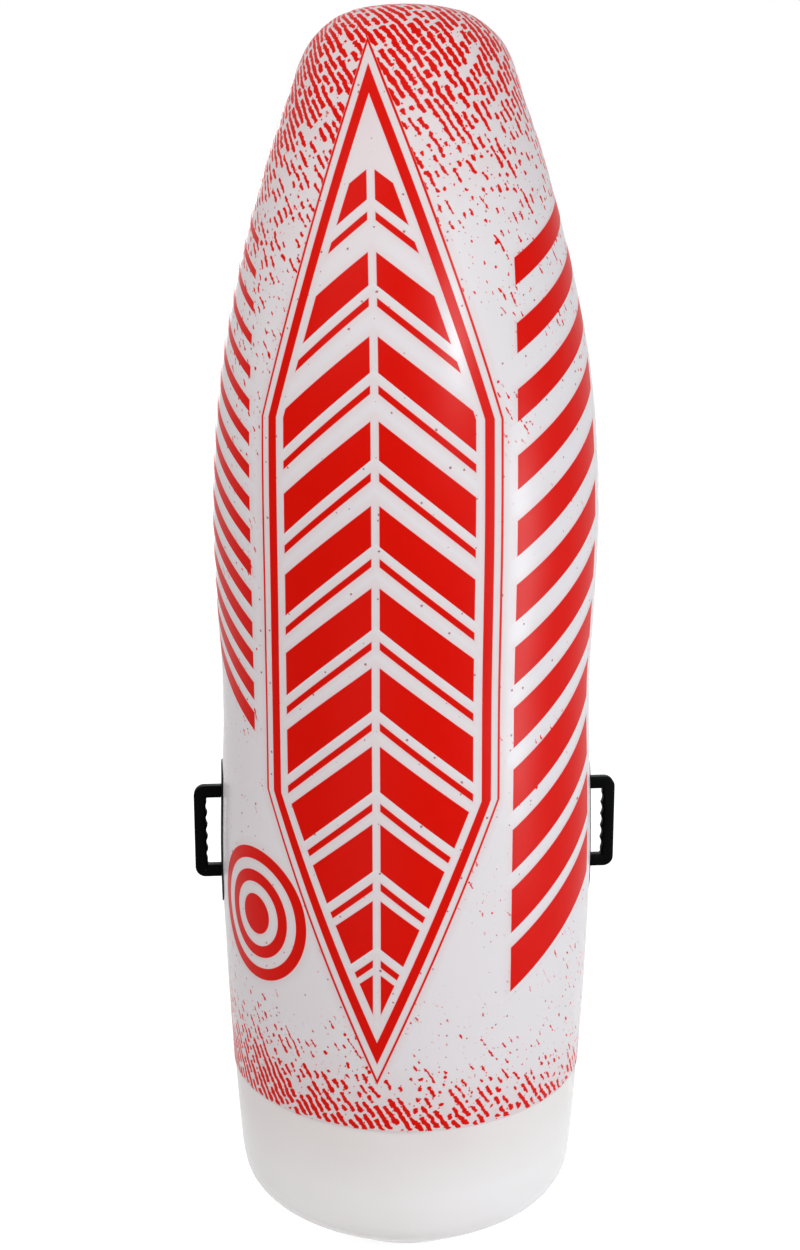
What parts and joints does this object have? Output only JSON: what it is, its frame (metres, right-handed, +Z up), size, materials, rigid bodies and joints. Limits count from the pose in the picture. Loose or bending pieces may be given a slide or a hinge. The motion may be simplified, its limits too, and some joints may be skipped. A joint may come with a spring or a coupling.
{
  "type": "goalkeeper training dummy",
  "caption": "Tall inflatable self-righting training dummy with a water-ballast base, moulded side handles and screw-cap air and water valves.",
  "frame": {"origin": "centre of the flat patch that the water-filled base makes on the ground", "axes": "+Z up along the body's axis, -Y towards the viewer of the printed front, +X through the handle on that viewer's right"},
  "size_m": [0.724, 0.6683, 2.05],
  "materials": {
    "printed_film": "satin PVC film, red print on white",
    "white_film": "satin white PVC film",
    "frosted_film": "frosted translucent PVC film",
    "tank_film": "clear PVC film",
    "water": "clear liquid",
    "patch_film": "satin black PVC",
    "black_rubber": "satin black moulded rubber",
    "valve_plastic": "satin moulded white plastic",
    "cap_plastic": "satin moulded black plastic",
    "valve_rubber": "soft black rubber"
  },
  "bodies": {
    "root": {"front_panel": "printed_film", "back_panel": "white_film", "base_wall": "frosted_film", "base_floor": "frosted_film", "tank_diaphragm": "tank_film", "water_ballast": "water", "right_handle_patch": "patch_film", "right_handle": "black_rubber", "left_handle_patch": "patch_film", "left_handle": "black_rubber", "air_valve_base": "valve_plastic", "water_valve_base": "valve_plastic", "water_cap_strap": "valve_rubber"},
    "insert_seal": {"air_valve_seal": "valve_rubber"},
    "insert": {"air_valve_insert": "valve_plastic", "air_cap_strap": "valve_rubber"},
    "flap": {"air_valve_flap": "valve_rubber"},
    "air_washer": {"air_cap_washer": "valve_rubber"},
    "air_cap": {"air_cap": "cap_plastic"},
    "water_washer": {"water_cap_washer": "valve_rubber"},
    "water_cap": {"water_cap": "cap_plastic"}
  },
  "joints": [
    {"name": "air_insert_rise", "type": "slide", "parent": "root", "child": "insert_seal", "axis": [0, 1, 0], "range_m": [0, 0.008]},
    {"name": "air_insert_turn", "type": "hinge", "parent": "insert_seal", "child": "insert", "pos_m": [0, 0.3262, 0.5], "axis": [0, 1, 0], "range_deg": [0, 720]},
    {"name": "air_flap_swing", "type": "hinge", "parent": "insert", "child": "flap", "pos_m": [0, 0.32225, 0.516], "axis": [-1, 0, 0], "range_deg": [0, 40], "stiffness_Nm_per_rad": 0.002},
    {"name": "air_cap_rise", "type": "slide", "parent": "insert", "child": "air_washer", "axis": [0, 1, 0], "range_m": [0, 0.0045]},
    {"name": "air_cap_turn", "type": "hinge", "parent": "air_washer", "child": "air_cap", "pos_m": [0, 0.3262, 0.5], "axis": [0, 1, 0], "range_deg": [0, 540]},
    {"name": "water_cap_rise", "type": "slide", "parent": "root", "child": "water_washer", "axis": [0, 1, 0], "range_m": [0, 0.0045]},
    {"name": "water_cap_turn", "type": "hinge", "parent": "water_washer", "child": "water_cap", "pos_m": [0, 0.3017, 0.235], "axis": [0, 1, 0], "range_deg": [0, 540]}
  ],
  "couplings": [
    {"joint": "air_insert_rise", "follows": "air_insert_turn", "m_per_rad": 0.00063661},
    {"joint": "air_cap_rise", "follows": "air_cap_turn", "m_per_rad": 0.00047746},
    {"joint": "water_cap_rise", "follows": "water_cap_turn", "m_per_rad": 0.00047746}
  ]
}
